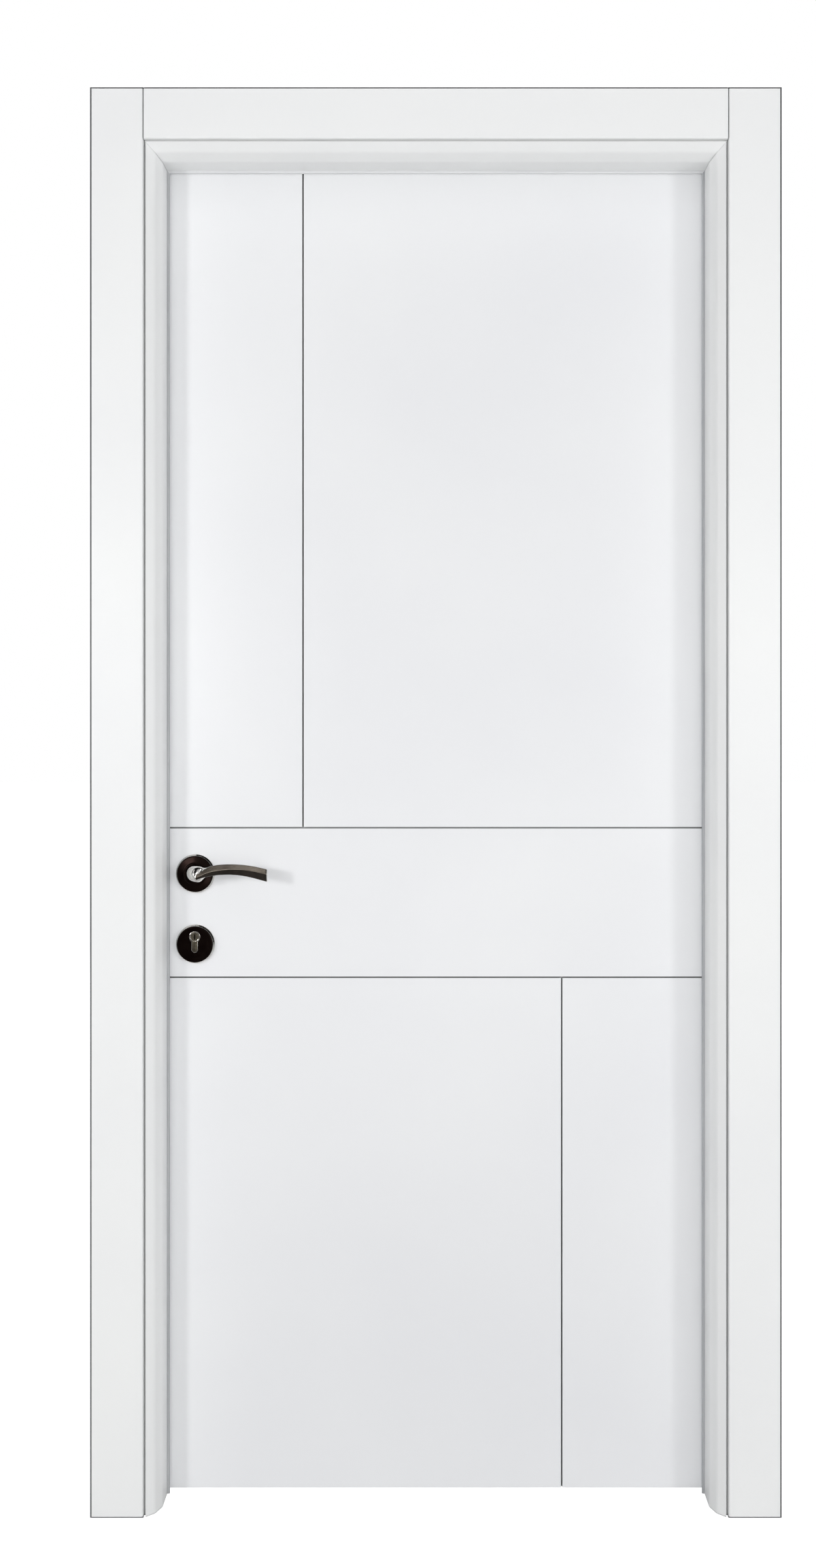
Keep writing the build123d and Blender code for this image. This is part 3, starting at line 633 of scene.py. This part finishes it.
screw = modelScrew("countersunkScrew", screwShape)
frameSpots, leafSpots = [], []
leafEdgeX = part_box("hinge_stile")[1][0]
for hinge in ("bottom", "middle", "top"):
    for half, spots, way in (("frame", frameSpots, -1), ("leaf", leafSpots, 1)):
        low, high = [Vector(corner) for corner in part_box(f"{hinge}_hinge_{half}_half")]
        faceX = leafEdgeX + (plateScrews["hingeGap"] * mm if half == "frame" else 0)
        for index, rise in enumerate((-plateScrews["hingeRise"], 0, plateScrews["hingeRise"])):
            inset = plateScrews["hingeIn"][index % 2] * mm
            spots.append(((faceX, low.y + inset, (low.z + high.z) / 2 + rise * mm), way))
for node, spots, way in (("strike_plate", frameSpots, 1), ("mortise_lock", leafSpots, -1)):
    low, high = [Vector(corner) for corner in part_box(node)]
    for z in (low.z + plateScrews["lockEnds"] * mm, high.z - plateScrews["lockEnds"] * mm):
        spots.append(((high.x if way > 0 else low.x, (low.y + high.y) / 2, z), way))
for name, spots, body in (("frameScrews", frameSpots, "frame"), ("leafScrews", leafSpots, "leaf")):
    finishPiece(placeScrews(name, screw, spots), body, screwShape["smoothAngle"])
bpy.data.objects.remove(screw)
print("screws set:", len(frameSpots) + len(leafSpots))

# camera on the doorway's middle, level, with the photograph's framing done by shift
photoFrame = {"width": 1200, "height": 2307, "axisX": 641, "axisY": 1030, "pixelsPerMetre": 980}
camera = {"distance": 2.25, "height": 1.229, "sensorMm": 36}
low, high = cadBox
middleX = (low[0] + high[0]) / 2
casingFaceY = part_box("front_casing_head")[0][1]
bpy.ops.object.select_all(action="DESELECT")
bpy.ops.object.camera_add(location=(middleX, casingFaceY - camera["distance"], camera["height"]),
                          rotation=(math.radians(90), 0, 0))
eye = bpy.context.object
eye.name = "photoCamera"
eye.data.sensor_width = camera["sensorMm"]
eye.data.lens = camera["sensorMm"] * photoFrame["pixelsPerMetre"] * camera["distance"] / photoFrame["height"]
eye.data.shift_x = -(photoFrame["axisX"] - photoFrame["width"] / 2) / photoFrame["height"]
eye.data.shift_y = (photoFrame["axisY"] - photoFrame["height"] / 2) / photoFrame["height"]
scene.camera = eye

# studio: pale floor, ambient light from before and behind with dark sides, and soft lamps
studio = {
    "floor": "#d9d9d9", "floorSize": 40, "floorDrop": 0.0005, "bounce": 0.0, "glow": 0.92,
    "ambient": 0.78, "ambientSide": 0.0, "ambientSpan": (0.35, 0.9), "ambientTint": "#fdfdff", "backdrop": 1.0,
    "lamps": {
        "leftKey": {"place": (-2.38, -3.0, 1.6), "aim": 1.2, "size": 0.6, "watts": 28.5},
        "rightKey": {"place": (3.15, -3.0, 1.3), "aim": 1.3, "size": 0.6, "watts": 29.5},
        "rightFill": {"place": (2.5, -4.0, 1.3), "aim": 1.3, "size": 2.0, "watts": 17},
        "leftNear": {"place": (-1.0, -2.2, 1.35), "aim": 1.3, "size": 0.5, "watts": 3.8},
        "rightNear": {"place": (1.0, -2.2, 1.35), "aim": 1.3, "size": 0.5, "watts": 2.0},
        "topSoftbox": {"place": (0.0, -2.6, 4.6), "aim": 1.3, "size": 2.0, "watts": 12},
        "lowSoftbox": {"place": (0.0, -3.0, 0.4), "aim": 0.6, "size": 1.2, "watts": 7.5},
        "backSoftbox": {"place": (0.0, 5.0, 1.5), "aim": 1.3, "size": 3.0, "watts": 88},
        "leftBack": {"place": (-4.0, 2.4, 1.5), "aim": 1.2, "size": 1.5, "watts": 40},
        "rightBack": {"place": (4.0, 2.4, 1.5), "aim": 1.2, "size": 1.5, "watts": 40},
    },
}
bpy.ops.object.select_all(action="DESELECT")
bpy.ops.mesh.primitive_plane_add(size=studio["floorSize"], location=(middleX, 0, -studio["floorDrop"]))
floor = bpy.context.object
floor.name = "studioFloor"
material, tree = startMaterial("paleStudioFloor")
matte = addNode(tree, "ShaderNodeBsdfDiffuse", {"Color": linear(studio["floor"])})
path = addNode(tree, "ShaderNodeLightPath")
lift = addNode(tree, "ShaderNodeMapRange", spanTo((0, 1), (studio["bounce"], studio["glow"])),
               {"Value": path.outputs["Is Camera Ray"]})
glow = addNode(tree, "ShaderNodeEmission", {"Color": linear("#ffffff")}, {"Strength": lift.outputs["Result"]})
sweep = addNode(tree, "ShaderNodeAddShader", links={0: matte.outputs[0], 1: glow.outputs[0]})
addNode(tree, "ShaderNodeOutputMaterial", links={"Surface": sweep.outputs[0]})
floor.data.materials.append(material)

world = bpy.data.worlds.new("softStudio")
scene.world = world
world.use_nodes = True
tree = world.node_tree
tree.nodes.clear()
way = addNode(tree, "ShaderNodeTexCoord")
parts = addNode(tree, "ShaderNodeSeparateXYZ", links={"Vector": way.outputs["Generated"]})
facing = addNode(tree, "ShaderNodeMath", links={0: parts.outputs["Y"]}, operation="ABSOLUTE")
fade = addNode(tree, "ShaderNodeMapRange", spanTo(studio["ambientSpan"], (studio["ambientSide"], studio["ambient"])),
               {"Value": facing.outputs[0]}, interpolation_type="SMOOTHSTEP")
ambient = addNode(tree, "ShaderNodeBackground", {"Color": linear(studio["ambientTint"])},
                  {"Strength": fade.outputs["Result"]})
backdrop = addNode(tree, "ShaderNodeBackground", {"Color": linear("#ffffff"), "Strength": studio["backdrop"]})
path = addNode(tree, "ShaderNodeLightPath")
mixed = addNode(tree, "ShaderNodeMixShader",
                links={"Fac": path.outputs["Is Camera Ray"], 1: ambient.outputs[0], 2: backdrop.outputs[0]})
addNode(tree, "ShaderNodeOutputWorld", links={"Surface": mixed.outputs[0]})

for name, lamp in studio["lamps"].items():
    x, y, z = lamp["place"]
    place, aim = Vector((middleX + x, y, z)), Vector((middleX, 0, lamp["aim"]))
    bpy.ops.object.select_all(action="DESELECT")
    bpy.ops.object.light_add(type="AREA", location=place)
    light = bpy.context.object
    light.name = name
    light.data.shape = "DISK"
    light.data.size = lamp["size"]
    light.data.energy = lamp["watts"]
    light.rotation_euler = (aim - place).to_track_quat("-Z", "Y").to_euler()
print("studio set")
